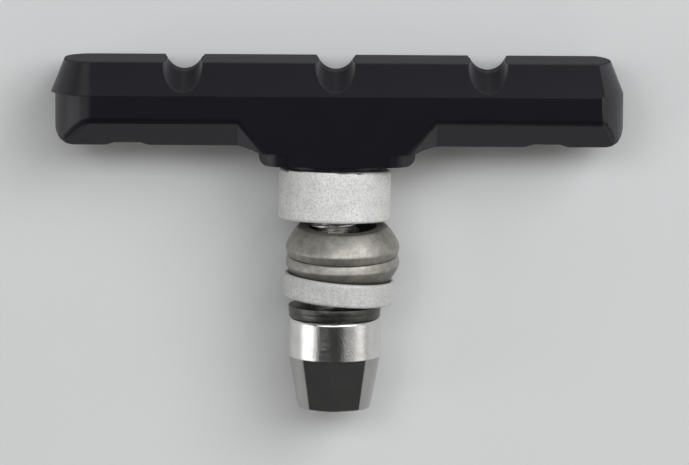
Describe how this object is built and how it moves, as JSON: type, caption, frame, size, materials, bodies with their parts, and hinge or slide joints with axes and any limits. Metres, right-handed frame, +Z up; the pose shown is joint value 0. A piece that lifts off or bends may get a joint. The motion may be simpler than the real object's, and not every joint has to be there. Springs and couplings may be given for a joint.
{
  "type": "bicycle rim brake pad",
  "caption": "Moulded rubber rim brake pad on a threaded stud, with cup and dome washers that let it tilt on a brake arm and a tapered round nut with a hex socket.",
  "frame": {"origin": "on the stud's axis, in the plane where the two domed washers meet, which is where a brake arm is clamped", "axes": "X along the pad, +Y the outward normal of the braking face, +Z up as the pad lies on its side"},
  "size_m": [0.0702, 0.0433, 0.0143],
  "materials": {
    "pad_rubber": "moulded, satin",
    "plate_steel": "plain pressed steel",
    "stud_steel": "rolled thread, zinc plated",
    "sintered_steel": "sintered, fine bright grain",
    "dome_steel": "smooth, satin",
    "washer_steel": "dark oxide, stamped",
    "nut_chrome": "mirror polished"
  },
  "bodies": {
    "pad": {"rubber_block": "pad_rubber", "backing_plate": "plate_steel", "threaded_stud": "stud_steel", "thick_cup_washer": "sintered_steel", "inner_dome_washer": "dome_steel", "outer_dome_washer": "dome_steel"},
    "thin_cup": {"thin_cup_washer": "sintered_steel"},
    "washer": {"flat_washer": "washer_steel"},
    "nut": {"socket_nut": "nut_chrome"}
  },
  "joints": [
    {"name": "cup_tilt", "type": "hinge", "parent": "pad", "child": "thin_cup", "pos_m": [0.00094, 0.00149, 0.00014], "axis": [0, 0, 1], "range_deg": [0, 4.8]},
    {"name": "nut_travel", "type": "slide", "parent": "pad", "child": "washer", "axis": [0, -1, 0], "range_m": [0, 0.005]},
    {"name": "nut_turn", "type": "hinge", "parent": "washer", "child": "nut", "pos_m": [0, -0.012, 0], "axis": [0, -1, 0], "range_deg": [0, 1800]}
  ],
  "couplings": [
    {"joint": "nut_travel", "follows": "nut_turn", "m_per_rad": 0.00015915}
  ]
}
